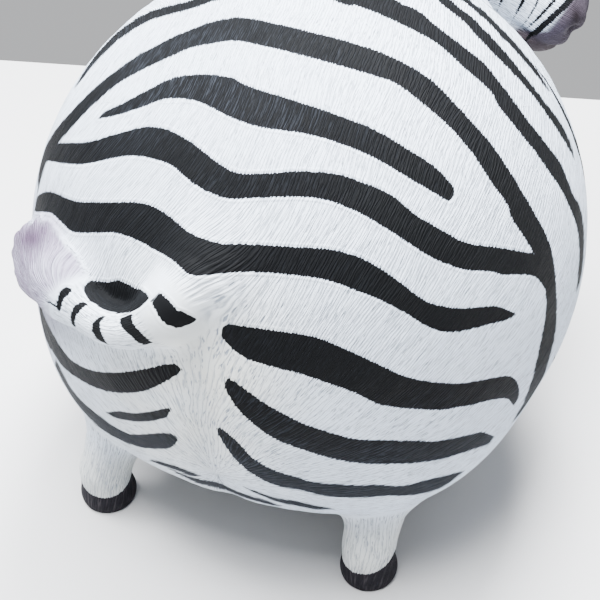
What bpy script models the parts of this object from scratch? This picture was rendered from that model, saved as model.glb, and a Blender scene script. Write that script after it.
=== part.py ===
"""A fat zebra figurine, cast in resin in one piece.

A ball of a body stands on four stub legs. The head is turned hard to the animal's own right, the
mane is a stiff upright brush, and the tail lies curled against the left of the rump, where it ends
in a fan of hair. Metres, +Z up. The animal looks along -Y, so its left side is at +X.
The rounded forms overlap, one fine skin is drawn round them all, the skin is eased where forms
meet, the carving is pressed into it, and it is thinned to the faces that the shape needs.
"""
import math

import bmesh
import bpy
import numpy as np
from mathutils import Matrix, Vector

# Driving sizes of the figurine, in metres.
BODY_WIDTH = 0.150        # across the flanks
BODY_HEIGHT = 0.075       # from the floor to the middle of the body
BELLY_GAP = 0.0075        # from the floor to the flattened belly
CHEST_LENGTH = 0.086      # from the middle of the body to the front of the chest
HOOF_WIDTH = 0.0150       # across a hoof
HOOF_HEIGHT = 0.0090      # from the floor to the hair line
HEAD_LENGTH = 0.0680      # from the back of the skull to the nose
EAR_LENGTH = 0.0220       # an ear from its root to its tip
MANE_HEIGHT = 0.0100      # how far the brush of the mane stands up
TAIL_WIDTH = 0.0100       # across the banded part of the tail
CLEFT_DEPTH = 0.0014      # the groove down the middle of the rump

# How finely the skin is drawn and thinned.
SKIN_STEP = 0.0012        # grain of the fine skin
SKIN_FACES = 9400         # triangles that are left when it has been thinned
SOLE_SINK = 0.0020        # the hooves are made this much too long, then cut flat
SMALL_BALL = 0.0060       # rounded ends smaller than this are drawn with fewer faces

HALF = BODY_WIDTH / 2.0
MIDDLE = Vector((0.0, 0.0, BODY_HEIGHT))


def place(left, back, up):
    """A point given from the body's middle, in shares of half the body's width."""
    return MIDDLE + HALF * Vector((left, back, up))


def clear_scene():
    """Removes every object that is already in the scene."""
    for thing in list(bpy.data.objects):
        bpy.data.objects.remove(thing)


def add_ball(forms, middle, radii, turn=None, fineness=3):
    """Adds an ellipsoid with the three radii along the turned axes."""
    made = bmesh.ops.create_icosphere(forms, subdivisions=fineness, radius=1.0)
    shape = Matrix.Diagonal((*radii, 1.0))
    if turn is not None:
        shape = turn.to_4x4() @ shape
    bmesh.ops.transform(forms, matrix=Matrix.Translation(middle) @ shape, verts=made["verts"])
    return made["verts"]


def add_limb(forms, points, radii, sides=28):
    """Adds a round tapering limb: a ball at each point and a cone between each two."""
    for point, radius in zip(points, radii):
        add_ball(forms, point, (radius, radius, radius),
                 fineness=2 if radius < SMALL_BALL else 3)
    for here, there, wide, narrow in zip(points, points[1:], radii, radii[1:]):
        run = there - here
        if run.length < 1e-6:
            continue
        spin = run.to_track_quat("Z", "Y").to_matrix().to_4x4()
        bmesh.ops.create_cone(
            forms, cap_ends=True, segments=sides, radius1=wide, radius2=narrow, depth=run.length,
            matrix=Matrix.Translation((here + there) / 2.0) @ spin)


def smooth_path(points, count):
    """Points spaced along a smooth curve through the given points (Catmull-Rom)."""
    ends = [2 * points[0] - points[1], *points, 2 * points[-1] - points[-2]]
    spans = len(points) - 1
    path = []
    for step in range(count):
        along = spans * step / (count - 1)
        span = min(int(along), spans - 1)
        t = along - span
        a, b, c, d = ends[span:span + 4]
        path.append(0.5 * (2 * b + (c - a) * t + (2 * a - 5 * b + 4 * c - d) * t ** 2
                           + (3 * b - a - 3 * c + d) * t ** 3))
    return path


def smooth_values(values, count):
    """Values read evenly along a list, straight from each one to the next."""
    return list(np.interp(np.linspace(0, len(values) - 1, count), range(len(values)), values))


# The body: a ball, longer at the chest and flattened where the belly nears the floor.
BELLY_START = 0.80        # share of half the width, below the middle, where flattening begins
HAUNCH_PLACE = (0.290, 0.265, -0.225)   # the swelling over a hind leg, shares of half the width
HAUNCH_ROUND = 0.600


def add_body(forms):
    """The ball of the body with a swelling over each hind leg and a soft chest."""
    flat_from = BELLY_START * HALF
    flat_keep = (BODY_HEIGHT - BELLY_GAP - flat_from) / (HALF - flat_from)
    chest = CHEST_LENGTH / HALF
    for vert in add_ball(forms, MIDDLE, (HALF, HALF, HALF), fineness=6):
        if vert.co.y < 0:
            vert.co.y *= chest
        below = MIDDLE.z - vert.co.z - flat_from
        if below > 0:
            vert.co.z += below * (1.0 - flat_keep)
    for side in (-1, 1):
        swell = HAUNCH_ROUND * HALF
        out, behind, under = HAUNCH_PLACE
        add_ball(forms, place(side * out, behind, under), (swell, swell, swell), fineness=5)


# The legs: places of the hooves and of the leg tops, in shares of half the width.
LEGS = {
    "hind_left": ((0.592, 0.630), (0.50, 0.46, -0.42)),
    "hind_right": ((-0.478, 0.628), (-0.47, 0.42, -0.46)),
    "fore_left": ((0.500, -0.620), (0.43, -0.50, -0.42)),
    "fore_right": ((-0.490, -0.620), (-0.42, -0.50, -0.42)),
}
FETLOCK_WIDTH = 0.94      # shares of the hoof's width
KNEE_WIDTH = 1.10
THIGH_WIDTH = 2.35
HOOF_LONG = 1.10          # a hoof is a little longer than it is wide
SOLE_SPREAD = 1.04        # and spreads a little at its sole


def add_leg(forms, foot, top):
    """A stub leg: a cone that narrows to the fetlock, over a rounded hoof."""
    hoof = HOOF_WIDTH / 2.0
    ground = Vector((foot[0] * HALF, foot[1] * HALF, 0.0))
    shoulder = place(*top)
    fetlock = ground + Vector((0.0, 0.0, HOOF_HEIGHT + 0.35 * hoof))
    knee = fetlock.lerp(shoulder, 0.30)
    add_limb(forms, [fetlock, knee, shoulder],
             [FETLOCK_WIDTH * hoof, KNEE_WIDTH * hoof, THIGH_WIDTH * hoof])
    heel = 0.55 * hoof
    add_limb(forms, [ground + Vector((0.0, 0.0, HOOF_HEIGHT * 0.45)), fetlock],
             [hoof, FETLOCK_WIDTH * hoof])
    add_ball(forms, ground + Vector((0.0, -0.12 * hoof, heel - SOLE_SINK)),
             (SOLE_SPREAD * hoof, HOOF_LONG * hoof, heel + SOLE_SINK))


# The head: where the skull and the nose are, in shares of half the width from the body's middle.
SKULL_PLACE = (-0.104, -1.220, 0.657)
NOSE_HEADING = (-0.85, -0.10, -0.52)


def head_turn():
    """The head's axes: its own left, back along its length, and up through its brow."""
    back = -Vector(NOSE_HEADING).normalized()
    left = back.cross(Vector((0.0, 0.0, 1.0))).normalized()
    up = left.cross(back).normalized()
    return Matrix((left, back, up)).transposed()


def on_head(left, ahead, up):
    """A point of the head, in shares of its length, from the middle of the skull."""
    return place(*SKULL_PLACE) + HEAD_LENGTH * (head_turn() @ Vector((left, -ahead, up)))


def add_head(forms):
    """Skull, cheeks, bridge of the nose, muzzle, lips, chin, brows, eyes and ears."""
    size = HEAD_LENGTH
    turn = head_turn()

    def lump(left, ahead, up, wide, long, deep):
        add_ball(forms, on_head(left, ahead, up), (wide * size, long * size, deep * size), turn)

    lump(0.0, 0.02, 0.00, 0.245, 0.27, 0.265)
    lump(0.0, 0.18, -0.10, 0.200, 0.27, 0.230)
    lump(0.0, 0.30, 0.055, 0.150, 0.34, 0.165)
    lump(0.0, 0.45, -0.020, 0.165, 0.24, 0.175)
    lump(0.0, 0.575, -0.010, 0.188, 0.165, 0.178)
    lump(0.0, 0.510, -0.115, 0.135, 0.175, 0.105)
    for side in (-1, 1):
        lump(side * 0.085, 0.640, 0.035, 0.085, 0.085, 0.085)
        lump(side * 0.165, 0.205, 0.105, 0.062, 0.075, 0.055)
        lump(side * 0.188, 0.215, 0.075, 0.046, 0.058, 0.048)
        lump(side * 0.120, 0.130, -0.090, 0.125, 0.185, 0.170)
        root = on_head(side * 0.150, -0.060, 0.190)
        lean = turn @ Vector((side * 0.42, 0.30, 1.0)).normalized()
        ear_axes = Matrix((turn @ Vector((1, 0, 0)), lean.cross(turn @ Vector((1, 0, 0))), lean))
        add_ball(forms, root + lean * EAR_LENGTH * 0.48,
                 (EAR_LENGTH * 0.31, EAR_LENGTH * 0.16, EAR_LENGTH * 0.55),
                 ear_axes.transposed())
        add_limb(forms, [root, root + lean * EAR_LENGTH * 0.45],
                 [EAR_LENGTH * 0.20, EAR_LENGTH * 0.15])


# The neck rises from the shoulders and bends with the head.
NECK_ROOT = (0.00, -0.62, 0.38)
NECK_MIDDLE = (0.03, -0.98, 0.60)
NECK_THICK = (0.46, 0.33, 0.25)
MANE_LOCKS = 19
MANE_THICK = 0.0032


def add_neck_and_mane(forms):
    """The short thick neck, and the brush of upright locks from the brow to the withers."""
    neck = [place(*NECK_ROOT), place(*NECK_MIDDLE), on_head(0.0, 0.02, -0.02)]
    add_limb(forms, smooth_path(neck, 7), [r * HALF for r in smooth_values(NECK_THICK, 7)])
    crest = [on_head(0.0, 0.16, 0.20), on_head(0.0, 0.02, 0.26), on_head(0.0, -0.16, 0.20),
             on_head(0.02, -0.28, 0.06), place(0.16, -0.94, 0.84), place(0.06, -0.62, 0.86)]
    roots = smooth_path(crest, MANE_LOCKS)
    heart = [on_head(0.0, 0.10, -0.10)] * 2 + [on_head(0.0, 0.0, -0.12)] \
        + [on_head(0.0, -0.02, -0.18), place(0.03, -0.95, 0.45), place(0.02, -0.60, 0.20)]
    hearts = smooth_path(heart, MANE_LOCKS)
    rises = [(root - inner).normalized() for root, inner in zip(roots, hearts)]
    add_limb(forms, [root + rise * MANE_HEIGHT * 0.45 for root, rise in zip(roots, rises)],
             [MANE_THICK * 1.10] * MANE_LOCKS)
    for number, (root, rise) in enumerate(zip(roots, rises)):
        tall = MANE_HEIGHT * (1.0 + 0.12 * math.sin(2.4 * number)) * (0.55 if number == 0 else 1.0)
        tip = root + rise * tall
        add_limb(forms, [root - rise * MANE_THICK, root + rise * tall * 0.55, tip],
                 [MANE_THICK * 1.25, MANE_THICK * 1.05, MANE_THICK * 0.55])


# The tail: angles round the body and up it, in degrees, and how far it stands out, in tail widths.
TAIL_ROUTE = ((0.0, 31.5, -1.10), (1.4, 27.0, -0.38), (4.0, 22.3, 0.12), (8.3, 17.8, 0.30),
              (14.4, 14.3, 0.35), (21.0, 13.3, 0.33), (27.0, 13.7, 0.30), (31.0, 14.6, 0.24))
TAIL_SIZES = (1.80, 1.60, 1.32, 1.10, 1.00, 0.98, 1.00, 1.05)
TUFT_TIPS = ((39.0, 5.5, 0.28), (47.0, 2.4, 0.38), (53.5, 0.6, 0.46), (57.0, 3.6, 0.50),
             (58.5, 8.2, 0.44), (55.0, 13.8, 0.34), (49.0, 19.2, 0.24), (42.5, 21.6, 0.08))


def on_body(round_degrees, up_degrees, out):
    """A point over the rump, given by its angles and by its height above the skin."""
    turn = math.radians(round_degrees)
    rise = math.radians(up_degrees)
    heading = Vector((math.sin(turn) * math.cos(rise), math.cos(turn) * math.cos(rise),
                      math.sin(rise)))
    return MIDDLE + heading * (HALF + out)


def add_tail(forms):
    """The tail from its root on the rump, then its fan of hair in seven locks."""
    points = smooth_path([on_body(a, b, out * TAIL_WIDTH) for a, b, out in TAIL_ROUTE], 18)
    radii = [0.5 * TAIL_WIDTH * size for size in smooth_values(TAIL_SIZES, 18)]
    add_limb(forms, points, radii, sides=20)
    root = points[-1]
    for number, (turn, rise, out) in enumerate(TUFT_TIPS):
        tip = on_body(turn, rise, out * TAIL_WIDTH)
        middle = root.lerp(tip, 0.5) + (root - MIDDLE).normalized() * 0.10 * TAIL_WIDTH
        add_limb(forms, smooth_path([root, middle, tip], 5),
                 [0.5 * TAIL_WIDTH * size for size in (0.90, 0.86, 0.74, 0.54, 0.26)], sides=16)


def fine_skin(forms):
    """One closed skin round all the forms, eased where they meet."""
    mesh = bpy.data.meshes.new("forms")
    forms.to_mesh(mesh)
    forms.free()
    rough = bpy.data.objects.new("forms", mesh)
    bpy.context.scene.collection.objects.link(rough)
    wrap = rough.modifiers.new("skin", "REMESH")
    wrap.mode = "VOXEL"
    wrap.voxel_size = SKIN_STEP
    ease = rough.modifiers.new("ease", "SMOOTH")
    ease.factor = 0.5
    ease.iterations = 8
    seen = bpy.context.evaluated_depsgraph_get()
    skin = bpy.data.meshes.new_from_object(rough.evaluated_get(seen))
    bpy.data.objects.remove(rough)
    return skin


def distance_to_path(spots, path):
    """Each spot's distance to the nearest stretch of a path."""
    nearest = np.full(len(spots), np.inf)
    for start, end in zip(path, path[1:]):
        start = np.array(start)
        run = np.array(end) - start
        along = np.clip((spots - start) @ run / max(run @ run, 1e-12), 0.0, 1.0)
        gap = np.linalg.norm(spots - start - along[:, None] * run, axis=1)
        nearest = np.minimum(nearest, gap)
    return nearest


def carve(skin):
    """Presses the carving into the skin: each cut is a rounded groove along a path."""
    count = len(skin.vertices)
    spots = np.empty(count * 3)
    skin.vertices.foreach_get("co", spots)
    spots = spots.reshape(-1, 3)
    outward = np.empty(count * 3)
    skin.vertex_normals.foreach_get("vector", outward)
    outward = outward.reshape(-1, 3)
    sink = np.zeros(count)
    head = HEAD_LENGTH

    def groove(path, depth, width):
        gap = distance_to_path(spots, path)
        sink[:] = np.maximum(sink, depth * np.exp(-(gap / width) ** 2))

    cleft = [on_body(0.0, angle, 0.0) for angle in range(18, -66, -6)]
    groove(cleft, CLEFT_DEPTH, 0.06 * HALF)
    for side in (-1, 1):
        groove([on_head(side * 0.118, 0.700, 0.045), on_head(side * 0.135, 0.665, 0.005)],
               0.034 * head, 0.034 * head)
        mouth = [on_head(0.0, 0.735, -0.085), on_head(side * 0.10, 0.690, -0.080),
                 on_head(side * 0.165, 0.570, -0.072), on_head(side * 0.185, 0.450, -0.085)]
        groove(smooth_path(mouth, 9), 0.024 * head, 0.022 * head)
        lid = [on_head(side * 0.215, 0.150, 0.085), on_head(side * 0.232, 0.205, 0.125),
               on_head(side * 0.215, 0.275, 0.080)]
        groove(smooth_path(lid, 7), 0.012 * head, 0.016 * head)
        turn = head_turn()
        lean = turn @ Vector((side * 0.42, 0.30, 1.0)).normalized()
        root = on_head(side * 0.150, -0.060, 0.190) - turn @ Vector((0, 1, 0)) * EAR_LENGTH * 0.16
        groove([root + lean * EAR_LENGTH * 0.22, root + lean * EAR_LENGTH * 0.78],
               0.11 * EAR_LENGTH, 0.13 * EAR_LENGTH)
    spots -= outward * sink[:, None]
    skin.vertices.foreach_set("co", spots.ravel())
    skin.update()


def thin_out(skin):
    """The same skin with fewer faces: many where it bends sharply, few where it is plain."""
    full = bpy.data.objects.new("full", skin)
    bpy.context.scene.collection.objects.link(full)
    triangles = sum(len(face.vertices) - 2 for face in skin.polygons)
    fewer = full.modifiers.new("fewer", "DECIMATE")
    fewer.ratio = SKIN_FACES / triangles
    seen = bpy.context.evaluated_depsgraph_get()
    thin = bpy.data.meshes.new_from_object(full.evaluated_get(seen))
    bpy.data.objects.remove(full)
    return thin


def stand_flat(thin):
    """Cuts the hooves flat at the floor and centres the figure over the origin."""
    shell = bmesh.new()
    shell.from_mesh(thin)
    every = shell.verts[:] + shell.edges[:] + shell.faces[:]
    cut = bmesh.ops.bisect_plane(shell, geom=every, plane_co=(0, 0, 0), plane_no=(0, 0, -1),
                                 dist=1e-7, clear_outer=True)
    rims = [item for item in cut["geom_cut"] if isinstance(item, bmesh.types.BMEdge)]
    bmesh.ops.holes_fill(shell, edges=rims, sides=0)
    for vert in shell.verts:
        if abs(vert.co.z) < 1e-6:
            vert.co.z = 0.0
    xs = [vert.co.x for vert in shell.verts]
    ys = [vert.co.y for vert in shell.verts]
    middle = Vector(((min(xs) + max(xs)) / 2.0, (min(ys) + max(ys)) / 2.0, 0.0))
    bmesh.ops.translate(shell, vec=-middle, verts=shell.verts)
    bmesh.ops.triangulate(shell, faces=shell.faces[:])
    bmesh.ops.recalc_face_normals(shell, faces=shell.faces[:])
    solid = bpy.data.meshes.new("zebra")
    shell.to_mesh(solid)
    shell.free()
    return solid


def painted_resin():
    """Matt hand-painted resin: warm white, as most of the surface is."""
    paint = bpy.data.materials.new("painted_resin")
    paint.use_nodes = True
    shader = paint.node_tree.nodes["Principled BSDF"]
    shader.inputs["Base Color"].default_value = (0.80, 0.80, 0.79, 1.0)
    shader.inputs["Roughness"].default_value = 0.55
    shader.inputs["Metallic"].default_value = 0.0
    paint.diffuse_color = (0.80, 0.80, 0.79, 1.0)
    return paint


clear_scene()
figure = bmesh.new()
add_body(figure)
for hoof_place, leg_top in LEGS.values():
    add_leg(figure, hoof_place, leg_top)
add_neck_and_mane(figure)
add_head(figure)
add_tail(figure)
surface = fine_skin(figure)
carve(surface)
zebra = bpy.data.objects.new("zebra", stand_flat(thin_out(surface)))
bpy.context.scene.collection.objects.link(zebra)
zebra.data.materials.append(painted_resin())
zebra.data.shade_smooth()
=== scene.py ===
"""A fat zebra figurine, cast in resin in one piece and painted by hand.

The forms are named as the solid's are. Each is a numpy surface with a matching distance rule; one
fine skin is drawn round them all, settled on the forms melted together, carved, painted by values
kept on its points, and shared out into pieces that all stand for the one casting.
Metres, +Z up. The animal looks along -Y, so its left side is at +X.
"""

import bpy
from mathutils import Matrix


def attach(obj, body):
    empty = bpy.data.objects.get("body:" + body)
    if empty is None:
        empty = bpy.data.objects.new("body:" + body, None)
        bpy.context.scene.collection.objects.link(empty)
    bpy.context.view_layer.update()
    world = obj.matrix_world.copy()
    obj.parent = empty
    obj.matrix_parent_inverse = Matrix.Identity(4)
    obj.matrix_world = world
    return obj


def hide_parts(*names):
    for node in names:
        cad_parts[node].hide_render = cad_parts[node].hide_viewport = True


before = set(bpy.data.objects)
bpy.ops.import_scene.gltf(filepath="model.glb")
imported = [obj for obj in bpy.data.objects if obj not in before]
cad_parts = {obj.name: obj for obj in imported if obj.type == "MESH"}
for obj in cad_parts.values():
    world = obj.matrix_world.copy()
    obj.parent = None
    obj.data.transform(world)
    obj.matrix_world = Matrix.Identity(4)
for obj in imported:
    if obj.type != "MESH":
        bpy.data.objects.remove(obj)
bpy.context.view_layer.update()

import bpy
import numpy as np
from mathutils import Matrix

# The body. The real figure is one hollow resin casting, so body, legs, head, mane and tail are
# forms of one skin. Here: a ball, longer at the chest and flattened where the belly nears the
# floor, with a soft swelling over each hind leg.
BODY_WIDTH = 0.150
BODY_HEIGHT = 0.075
BELLY_GAP = 0.0075
CHEST_LENGTH = 0.086
STAND_BACK = 0.0175       # the body's middle lies this far behind the middle of the solid's box
BELLY_START = 0.80        # shares of half the width, below the middle
HAUNCH_PLACE = (0.290, 0.265, -0.225)
HAUNCH_ROUND = 0.600

HALF = BODY_WIDTH / 2.0
MIDDLE = np.array([0.0, STAND_BACK, BODY_HEIGHT])
UPRIGHT = np.eye(3)
FAR = 1.0                 # stands for a form that is too far away to matter
REACH = 0.014             # a form is only worked out this near to it
forms = {}                # group name: a distance rule and a box for each form
surfaces = []             # points, quads and triangles of each form
BODY_RINGS, HAUNCH_RINGS = 110, 60
BELLY_AT = BELLY_START * HALF                 # below this only a share of the height is kept
BELLY_KEEP = (BODY_HEIGHT - BELLY_GAP - BELLY_AT) / (HALF - BELLY_AT)


def unit(way):
    """A heading, or each row of headings, at length one."""
    return way / np.linalg.norm(way, axis=-1, keepdims=True)


def place(left, back, up):
    """The body's middle plus shares of half its width to the animal's left, back and up."""
    return MIDDLE + HALF * np.array([left, back, up])


def on_body(round_deg, up_deg, out=0.0):
    """Middle + (half + out) * (sin r cos u, cos r cos u, sin u), r round from the tail, u up."""
    r, u = np.radians(round_deg), np.radians(up_deg)
    heading = np.stack([np.sin(r) * np.cos(u), np.cos(r) * np.cos(u), np.sin(u)], -1)
    return MIDDLE + heading * (HALF + np.asarray(out)[..., None])


def closed_faces(rings, around):
    """Quads from ring to ring, and a fan to each pole; the two poles are the last points."""
    ring, step = np.meshgrid(np.arange(rings - 1), np.arange(around), indexing="ij")
    after = (step + 1) % around
    quads = np.stack([ring * around + step, ring * around + after,
                      (ring + 1) * around + after, (ring + 1) * around + step], -1)
    step = np.arange(around)
    after = (step + 1) % around
    pole = np.full(around, rings * around)
    last = (rings - 1) * around
    fans = np.vstack([np.stack([after, step, pole], -1),
                      np.stack([last + step, last + after, pole + 1], -1)])
    return quads.reshape(-1, 4), fans


def ball_surface(middle, radii, axes, rings):
    """Middle + axes (radii * (sin a cos b, sin a sin b, cos a)), a from pole to pole, b round."""
    a, b = np.meshgrid(np.linspace(0, np.pi, rings + 2)[1:-1],
                       np.linspace(0, 2 * np.pi, 2 * rings, endpoint=False), indexing="ij")
    ball = np.stack([np.sin(a) * np.cos(b), np.sin(a) * np.sin(b), np.cos(a)], -1).reshape(-1, 3)
    ball = np.vstack([ball, [0, 0, 1], [0, 0, -1]])
    return (middle + (ball * radii) @ axes.T, *closed_faces(rings, 2 * rings))


def ball_gap(spots, middle, radii, axes):
    """Near distance to an ellipsoid: k (k - 1) / g, k = |spot / radii|, g = |spot / radii^2|."""
    inside = (spots - middle) @ axes
    k = np.linalg.norm(inside / radii, axis=1)
    g = np.linalg.norm(inside / radii ** 2, axis=1)
    return k * (k - 1.0) / np.maximum(g, 1e-9)


def add_ball(group, middle, radii, axes=UPRIGHT, rings=24):
    """Adds an ellipsoid to a group: its surface, and its distance rule with its box."""
    middle, radii = np.asarray(middle, float), np.asarray(radii, float)
    surfaces.append(ball_surface(middle, radii, axes, rings))
    forms.setdefault(group, []).append(
        (lambda spots: ball_gap(spots, middle, radii, axes), middle - max(radii),
         middle + max(radii)))


def body_unshaped(spots):
    """Undoes the chest's stretch and the belly's flattening, so that the body is a plain ball."""
    inside = spots - MIDDLE
    y = np.where(inside[:, 1] < 0, inside[:, 1] * HALF / CHEST_LENGTH, inside[:, 1])
    below = np.maximum(-inside[:, 2] - BELLY_AT, 0.0)
    return np.stack([inside[:, 0], y, inside[:, 2] - below * (1.0 / BELLY_KEEP - 1.0)], -1)


def body_shaped(ball):
    """The stretch of the chest and the flattening of the belly, put on a plain ball."""
    y = np.where(ball[:, 1] < 0, ball[:, 1] * CHEST_LENGTH / HALF, ball[:, 1])
    below = np.maximum(-ball[:, 2] - BELLY_AT, 0.0)
    return MIDDLE + np.stack([ball[:, 0], y, ball[:, 2] + below * (1.0 - BELLY_KEEP)], -1)


ball, *ball_faces = ball_surface(np.zeros(3), np.full(3, HALF), UPRIGHT, BODY_RINGS)
surfaces.append((body_shaped(ball), *ball_faces))
forms["body"] = [(lambda spots: np.linalg.norm(body_unshaped(spots), axis=1) - HALF,
                  MIDDLE - 2 * HALF, MIDDLE + 2 * HALF)]
for side in (-1, 1):
    out, behind, under = HAUNCH_PLACE
    add_ball("haunches", place(side * out, behind, under), np.full(3, HAUNCH_ROUND * HALF),
             rings=HAUNCH_RINGS)

# The legs. Four stub legs of the same casting, each a cone that comes out from under the body and
# narrows to the fetlock, over a rounded hoof that is cut flat where it stands.
HOOF_WIDTH = 0.0150
HOOF_HEIGHT = 0.0090
HOOF_LONG = 1.10
SOLE_SINK = 0.0020
FETLOCK_WIDTH = 0.94      # shares of the hoof's width
KNEE_WIDTH = 1.10
THIGH_WIDTH = 2.35
SOLE_SPREAD = 1.04
FETLOCK_UP = 0.35         # shares of half the hoof's width, above its hair line
HEEL_UP, TOE_OUT = 0.55, 0.12
HOOF_CORE = 0.45          # share of the hoof's height at which its cone begins
KNEE_WAY = 0.30           # share of the way up from the fetlock
LEGS = {                  # hoof, leg top, and the way the heel faces in degrees from the tail
    "hind_left": ((0.592, 0.630), (0.50, 0.46, -0.42), -20.0),
    "hind_right": ((-0.478, 0.628), (-0.47, 0.42, -0.46), 28.0),
    "fore_left": ((0.500, -0.620), (0.43, -0.50, -0.42), -6.0),
    "fore_right": ((-0.490, -0.620), (-0.42, -0.50, -0.42), 6.0),
}


def smooth_path(points, count):
    """On each span 0.5 (2b + (c - a) t + (2a - 5b + 4c - d) t^2 + (3b - a - 3c + d) t^3)."""
    points = np.asarray(points, float)
    ends = np.vstack([2 * points[0] - points[1], points, 2 * points[-1] - points[-2]])
    along = np.linspace(0, len(points) - 1, count)
    span = np.minimum(along.astype(int), len(points) - 2)
    t = (along - span)[:, None]
    a, b, c, d = (ends[span + k] for k in range(4))
    return 0.5 * (2 * b + (c - a) * t + (2 * a - 5 * b + 4 * c - d) * t ** 2
                  + (3 * b - a - 3 * c + d) * t ** 3)


def limb_surface(points, radii, around):
    """Path + radius (cos b side + sin b over), b round, closed by half a ball at each end."""
    run = unit(np.gradient(points, axis=0))
    cap = np.linspace(0, np.pi / 2, 5)[1:]
    first = points[0] - run[0] * radii[0] * np.cos(cap)[:, None]
    last = points[-1] + run[-1] * radii[-1] * np.cos(cap[::-1])[:, None]
    centres = np.vstack([first, points[1:-1], last])
    wide = np.concatenate([radii[0] * np.sin(cap), radii[1:-1], radii[-1] * np.sin(cap[::-1])])
    runs = np.vstack([np.repeat(run[:1], 4, 0), run[1:-1], np.repeat(run[-1:], 4, 0)])
    away = UPRIGHT[np.argmin(np.abs(run.mean(0)))]
    sides = unit(np.cross(runs, away))
    overs = np.cross(runs, sides)
    b = np.linspace(0, 2 * np.pi, around, endpoint=False)[:, None]
    rings = centres[:, None] + wide[:, None, None] * (
        np.cos(b) * sides[:, None] + np.sin(b) * overs[:, None])
    poles = [points[0] - run[0] * radii[0], points[-1] + run[-1] * radii[-1]]
    return (np.vstack([rings.reshape(-1, 3), poles]), *closed_faces(len(centres), around))


def path_gap(spots, points, radii):
    """Least over the spans of |spot - nearest point of the span| - radius there."""
    gap = np.full(len(spots), FAR)
    for here, there, wide, narrow in zip(points, points[1:], radii, radii[1:]):
        run = there - here
        t = np.clip((spots - here) @ run / max(run @ run, 1e-12), 0.0, 1.0)
        away = np.linalg.norm(spots - here - t[:, None] * run, axis=1)
        gap = np.minimum(gap, away - wide - t * (narrow - wide))
    return gap


def add_limb(group, points, radii, around=18):
    """Adds a tapering limb to a group: its surface, and its distance rule with its box."""
    points, radii = np.asarray(points, float), np.asarray(radii, float)
    surfaces.append(limb_surface(points, radii, around))
    forms.setdefault(group, []).append(
        (lambda spots: path_gap(spots, points, radii), (points - radii[:, None]).min(0),
         (points + radii[:, None]).max(0)))


leg_runs = {}             # where each leg stands, which way it goes up, and how its heel faces
hoof = HOOF_WIDTH / 2.0
for leg, (foot, top, heel_way) in LEGS.items():
    ground = np.array([MIDDLE[0] + foot[0] * HALF, MIDDLE[1] + foot[1] * HALF, 0.0])
    fetlock = ground + [0.0, 0.0, HOOF_HEIGHT + FETLOCK_UP * hoof]
    shoulder = place(*top)
    knee = fetlock + KNEE_WAY * (shoulder - fetlock)
    add_limb(leg, [fetlock, knee, shoulder],
             [FETLOCK_WIDTH * hoof, KNEE_WIDTH * hoof, THIGH_WIDTH * hoof], 32)
    add_limb(leg, [ground + [0, 0, HOOF_HEIGHT * HOOF_CORE], fetlock],
             [hoof, FETLOCK_WIDTH * hoof], 28)
    heel = HEEL_UP * hoof
    add_ball(leg, ground + [0.0, -TOE_OUT * hoof, heel - SOLE_SINK],
             (SOLE_SPREAD * hoof, HOOF_LONG * hoof, heel + SOLE_SINK))
    leg_runs[leg] = (ground, unit(shoulder - ground), heel_way)

# The head and neck. Cast with the body and turned hard to the animal's right: skull, cheeks,
# bridge, muzzle, lips, chin, brows, eyes and ears, each a lump of the same clay model.
HEAD_LENGTH = 0.0680
EAR_LENGTH = 0.0220
SKULL_PLACE = (-0.104, -1.220, 0.657)
NOSE_HEADING = (-0.85, -0.10, -0.52)
NECK_ROOT = (0.00, -0.62, 0.38)
NECK_MIDDLE = (0.03, -0.98, 0.60)
NECK_THICK = (0.46, 0.33, 0.25)
LUMPS = (                 # left, ahead, up, half width, half length, half depth, in head lengths
    (0.0, 0.02, 0.00, 0.245, 0.27, 0.265), (0.0, 0.18, -0.10, 0.200, 0.27, 0.230),
    (0.0, 0.30, 0.055, 0.150, 0.34, 0.165), (0.0, 0.45, -0.020, 0.165, 0.24, 0.175),
    (0.0, 0.575, -0.010, 0.188, 0.165, 0.178), (0.0, 0.510, -0.115, 0.135, 0.175, 0.105))
SIDE_LUMPS = (            # nostril wing, brow and cheek, made on both sides
    (0.085, 0.640, 0.035, 0.085, 0.085, 0.085), (0.165, 0.205, 0.105, 0.062, 0.075, 0.055),
    (0.120, 0.130, -0.090, 0.125, 0.185, 0.170))
EYE = (0.188, 0.215, 0.075, 0.046, 0.058, 0.048)
EAR_ROOT = (0.150, -0.060, 0.190)
EAR_LEAN = (0.42, 0.30, 1.0)              # outwards, back and up
EAR_MIDDLE, EAR_HALVES = 0.48, (0.31, 0.16, 0.55)         # shares of the ear's length
EAR_STEM, EAR_STEM_WIDE = 0.45, (0.20, 0.15)
NECK_STEPS = 7

head_back = unit(-np.array(NOSE_HEADING))
head_left = unit(np.cross(head_back, [0.0, 0.0, 1.0]))
head_up = np.cross(head_left, head_back)
HEAD_AXES = np.stack([head_left, head_back, head_up], 1)
SKULL = place(*SKULL_PLACE)


def on_head(left, ahead, up):
    """The middle of the skull plus shares of the head's length along the head's own axes."""
    return SKULL + HEAD_LENGTH * (HEAD_AXES @ np.array([left, -ahead, up]))


def add_lump(group, left, ahead, up, wide, long, deep):
    """Adds one ellipsoid that lies along the head's axes, all in shares of the head's length."""
    add_ball(group, on_head(left, ahead, up), HEAD_LENGTH * np.array([wide, long, deep]),
             HEAD_AXES)


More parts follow.
